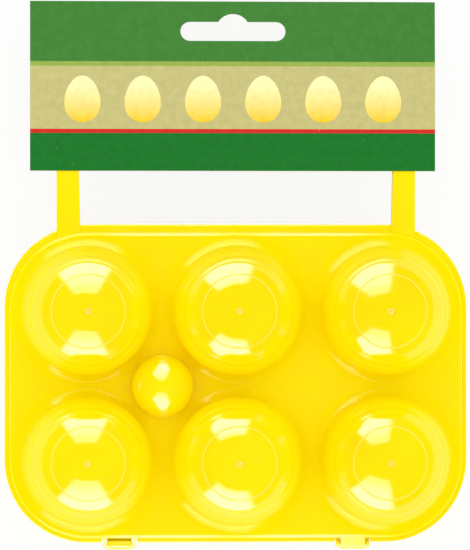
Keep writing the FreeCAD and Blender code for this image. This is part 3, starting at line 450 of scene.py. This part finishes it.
# Coated paperboard, printed in greens with a pale band and a row of plain eggs. The varnish over the print
# is matt and hardly shines, and the green wears pale in flecks where the board has rubbed.
def printed_paperboard():
    material = blank_material("printed_paperboard")
    tree = material.node_tree
    place = node(tree, "TexCoord", {}).outputs["Object"]
    in_mm = node(tree, "VectorMath", {0: place, "Scale": 1 / MM}, operation="SCALE").outputs[0]
    spot = node(tree, "SeparateXYZ", {0: in_mm})
    across = node(tree, "Math", {0: spot.outputs[0], 1: card_middle / MM}, operation="SUBTRACT").outputs[0]
    up = node(tree, "Math", {0: spot.outputs[1], 1: card_low.y / MM}, operation="SUBTRACT").outputs[0]

    # Bands by height above the lower edge, the lowest one green.
    height = node(tree, "MapRange", {0: up, 1: 0.0, 2: card_height / MM}).outputs[0]
    bands = node(tree, "ValToRGB", {"Fac": height})
    ramp = bands.color_ramp
    ramp.interpolation = "CONSTANT"
    ramp.elements[0].color = linear("#20732C")
    ramp.elements.remove(ramp.elements[1])
    for level, colour in PRINT_BANDS:
        ramp.elements.new(level * MM / card_height).color = linear(colour)

    # A row of eggs, narrower at the top.
    shifted = node(tree, "Math", {0: across, 1: EGG_PITCH / 2}, operation="ADD").outputs[0]
    cell = {0: shifted, 1: EGG_PITCH / 2, 2: -EGG_PITCH / 2}
    in_cell = node(tree, "Math", cell, operation="WRAP").outputs[0]
    above = node(tree, "Math", {0: up, 1: EGG_LEVEL}, operation="SUBTRACT").outputs[0]
    tall = node(tree, "Math", {0: above, 1: EGG_HALF_HEIGHT}, operation="DIVIDE").outputs[0]
    taper = node(tree, "Math", {0: tall, 1: EGG_TAPER, 2: 1.0}, operation="MULTIPLY_ADD").outputs[0]
    wide = node(tree, "Math", {0: in_cell, 1: EGG_HALF_WIDTH}, operation="DIVIDE").outputs[0]
    full = node(tree, "Math", {0: wide, 1: taper}, operation="MULTIPLY").outputs[0]
    from_heart = node(tree, "CombineXYZ", {0: full, 1: tall}).outputs[0]
    reach = node(tree, "VectorMath", {0: from_heart}, operation="LENGTH").outputs["Value"]
    inside = node(tree, "MapRange", {0: reach, 1: 0.97, 2: 1.0, 3: 1.0, 4: 0.0}).outputs[0]
    sideways = node(tree, "Math", {0: across}, operation="ABSOLUTE").outputs[0]
    row_half = EGGS_EACH_SIDE * EGG_PITCH
    in_row = node(tree, "Math", {0: sideways, 1: row_half}, operation="LESS_THAN").outputs[0]
    egg = node(tree, "Math", {0: inside, 1: in_row}, operation="MULTIPLY").outputs[0]
    shade = node(tree, "MapRange", {0: tall, 1: -1.0, 2: 0.6}).outputs[0]
    egg_tones = {0: shade, 6: linear("#F0C81C"), 7: linear("#FFF0B0")}
    shell = node(tree, "Mix", egg_tones, data_type="RGBA").outputs[2]
    eggs_on_bands = {0: egg, 6: bands.outputs["Color"], 7: shell}
    print_colour = node(tree, "Mix", eggs_on_bands, data_type="RGBA").outputs[2]

    # Ink mottle and rubbed flecks, both drawn coarser than the fibres so that they show.
    clouds = {"Vector": in_mm, "Scale": 1 / MOTTLE_LENGTH, "Detail": 4.0}
    mottle = node(tree, "TexNoise", clouds).outputs["Fac"]
    tone = node(tree, "MapRange", {0: mottle, 1: 0.3, 2: 0.7, 3: 0.93, 4: 1.05}).outputs[0]
    inked = node(tree, "VectorMath", {0: print_colour, "Scale": tone}, operation="SCALE").outputs[0]
    specks = {"Vector": in_mm, "Scale": 1 / FLECK_LENGTH, "Detail": 3.0}
    fleck = node(tree, "TexNoise", specks).outputs["Fac"]
    rubbed = node(tree, "MapRange", {0: fleck, 1: 0.70, 2: 0.78, 3: 0.0, 4: 0.35}).outputs[0]
    worn = node(tree, "Mix", {0: rubbed, 6: inked, 7: linear("#DDE2CC")}, data_type="RGBA").outputs[2]

    mottled = node(tree, "Bump", {"Height": mottle, "Distance": MOTTLE_HEIGHT})
    sheen = node(tree, "MapRange", {0: mottle, 1: 0.3, 2: 0.7, 3: 0.30, 4: 0.38}).outputs[0]
    shader = node(tree, "BsdfPrincipled", {
        "Base Color": worn,
        "Roughness": sheen,
        "IOR": 1.48,
        "Specular IOR Level": 0.01,
        "Normal": mottled.outputs[0],
    })
    node(tree, "OutputMaterial", {"Surface": shader.outputs[0]})
    return material


# Bare paperboard: pulp grey-white and matt, with fibres in one direction that are drawn 0.8 mm thick and
# 3.3 mm long so that they show.
def bare_paperboard():
    material = blank_material("bare_paperboard")
    tree = material.node_tree
    place = node(tree, "TexCoord", {}).outputs["Object"]
    in_mm = node(tree, "VectorMath", {0: place, "Scale": 1 / MM}, operation="SCALE").outputs[0]
    drawn = node(tree, "VectorMath", {0: in_mm, 1: FIBRES_PER_MM}, operation="MULTIPLY").outputs[0]
    fibre = node(tree, "TexNoise", {"Vector": drawn, "Scale": 1.0, "Detail": 6.0}).outputs["Fac"]
    pulp = node(tree, "ValToRGB", {"Fac": fibre})
    pulp.color_ramp.elements[0].position = 0.35
    pulp.color_ramp.elements[0].color = linear("#CFCBBE")
    pulp.color_ramp.elements[1].position = 0.65
    pulp.color_ramp.elements[1].color = linear("#E4E1D6")
    nap = node(tree, "Bump", {"Height": fibre, "Distance": FIBRE_HEIGHT})
    shader = node(tree, "BsdfPrincipled", {
        "Base Color": pulp.outputs["Color"],
        "Roughness": 0.85,
        "IOR": 1.45,
        "Normal": nap.outputs[0],
    })
    node(tree, "OutputMaterial", {"Surface": shader.outputs[0]})
    return material


card = folded_card()
card.data.materials.append(printed_paperboard())
card.data.materials.append(bare_paperboard())
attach(card, "card")
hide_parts("header_card")


# Table and light
# The case lies on a white table in even light from all round, between two tall softboxes, one past the
# handle and one past the hinge. The softboxes show in the gloss alone, brightest at their foot.
WHITE = linear("#FFFFFF")
TABLE_HALF = 3.0
TABLE_GLOW = 0.85
EVEN_LIGHT = 1.2
LIGHT_IN_GLOSS = 0.03
SOFTBOX_WIDTH = 0.44
SOFTBOX_HEIGHT = 0.74
SOFTBOX_AWAY = 0.31
SOFTBOX_ASIDE = -0.095
SOFTBOX_ABOVE_TABLE = 0.03
SOFTBOX_POWER = 9.8

# Parts of a softbox's width from its middle, and of its height from its foot.
SIDE_FADE_FROM = 0.34
SIDE_FADE_TO = 0.5
TOP_FADE_FROM = 0.2
TOP_FADE_TO = 0.8
TOP_STRENGTH = 0.4


# Matt white laminate, which the camera sees nearly as bright as the room, with a faint shadow of the case.
def matt_white_laminate():
    material = blank_material("matt_white_laminate")
    tree = material.node_tree
    seen = node(tree, "LightPath", {})
    camera_share = {0: seen.outputs["Is Camera Ray"], 1: TABLE_GLOW}
    share = node(tree, "Math", camera_share, operation="MULTIPLY").outputs[0]
    paint = node(tree, "BsdfDiffuse", {"Color": linear("#F4F4F2")})
    glow = node(tree, "Emission", {"Color": WHITE, "Strength": 1.0})
    mixed = node(tree, "MixShader", {0: share, 1: paint.outputs[0], 2: glow.outputs[0]})
    node(tree, "OutputMaterial", {"Surface": mixed.outputs[0]})
    return material


table_mesh = bpy.data.meshes.new("table")
corners = [(x * TABLE_HALF, y * TABLE_HALF, 0) for x, y in ((-1, -1), (1, -1), (1, 1), (-1, 1))]
table_mesh.from_pydata(corners, [], [(0, 1, 2, 3)])
table_mesh.materials.append(matt_white_laminate())
table = bpy.data.objects.new("table", table_mesh)
scene.collection.objects.link(table)


# Strength over the face of a softbox: full at its foot, dimmer towards the top, fading out at both sides.
def fade_edges(lamp):
    lamp.use_nodes = True
    tree = lamp.node_tree
    tree.nodes.clear()
    spot = node(tree, "SeparateXYZ", {0: node(tree, "NewGeometry", {}).outputs["Parametric"]})
    centred = node(tree, "Math", {0: spot.outputs[0], 1: 0.5}, operation="SUBTRACT").outputs[0]
    aside = node(tree, "Math", {0: centred}, operation="ABSOLUTE").outputs[0]
    to_side = {0: aside, 1: SIDE_FADE_FROM, 2: SIDE_FADE_TO, 3: 1.0, 4: 0.0}
    sides = node(tree, "MapRange", to_side, interpolation_type="SMOOTHSTEP").outputs[0]
    to_top = {0: spot.outputs[1], 1: TOP_FADE_FROM, 2: TOP_FADE_TO, 3: 1.0, 4: TOP_STRENGTH}
    top = node(tree, "MapRange", to_top, interpolation_type="SMOOTHSTEP").outputs[0]
    both = node(tree, "Math", {0: sides, 1: top}, operation="MULTIPLY").outputs[0]
    glow = node(tree, "Emission", {"Strength": both})
    node(tree, "OutputLight", {"Surface": glow.outputs[0]})


for name, way in (("softbox_handle_side", 1), ("softbox_hinge_side", -1)):
    lamp = bpy.data.lights.new(name, "AREA")
    lamp.shape = "RECTANGLE"
    lamp.size = SOFTBOX_WIDTH
    lamp.size_y = SOFTBOX_HEIGHT
    lamp.energy = SOFTBOX_POWER
    fade_edges(lamp)
    softbox = bpy.data.objects.new(name, lamp)
    softbox_level = SOFTBOX_HEIGHT / 2 + SOFTBOX_ABOVE_TABLE
    softbox.location = (SOFTBOX_ASIDE, row_middle + way * SOFTBOX_AWAY, softbox_level)
    softbox.rotation_euler = (math.pi / 2, 0, (1 + way) * math.pi / 2)
    softbox.visible_diffuse = False
    scene.collection.objects.link(softbox)

# Matt reflection takes the even light, gloss sees a dark room, and the camera sees white.
world = bpy.data.worlds.new("room")
scene.world = world
world.use_nodes = True
sky = world.node_tree
sky.nodes.clear()
seen = node(sky, "LightPath", {})
even = node(sky, "Background", {"Color": WHITE, "Strength": EVEN_LIGHT})
dark = node(sky, "Background", {"Color": WHITE, "Strength": LIGHT_IN_GLOSS})
white = node(sky, "Background", {"Color": WHITE, "Strength": 1.0})
matt_or_gloss = {0: seen.outputs["Is Diffuse Ray"], 1: dark.outputs[0], 2: even.outputs[0]}
room = node(sky, "MixShader", matt_or_gloss).outputs[0]
room_or_camera = {0: seen.outputs["Is Camera Ray"], 1: room, 2: white.outputs[0]}
backdrop = node(sky, "MixShader", room_or_camera).outputs[0]
node(sky, "OutputWorld", {"Surface": backdrop})


# Camera
# High above the case and a little to its left, with the handle at the top of the picture. The frame is
# 219 mm high at the level of the rim.
RIM_LEVEL = 35 * MM
CAMERA_AWAY = 1.4
CAMERA_ASIDE = -0.066
AIM_X = -0.5 * MM
AIM_Y = 0.2 * MM
FRAME_HEIGHT = 0.2191
camera_data = bpy.data.cameras.new("camera")
camera_data.lens = camera_data.sensor_width * CAMERA_AWAY / FRAME_HEIGHT
camera = bpy.data.objects.new("camera", camera_data)
camera.location = (AIM_X + CAMERA_ASIDE, AIM_Y, RIM_LEVEL + CAMERA_AWAY)
camera.rotation_euler = (0.0, math.atan(CAMERA_ASIDE / CAMERA_AWAY), 0.0)
scene.collection.objects.link(camera)
scene.camera = camera

bpy.context.view_layer.update()
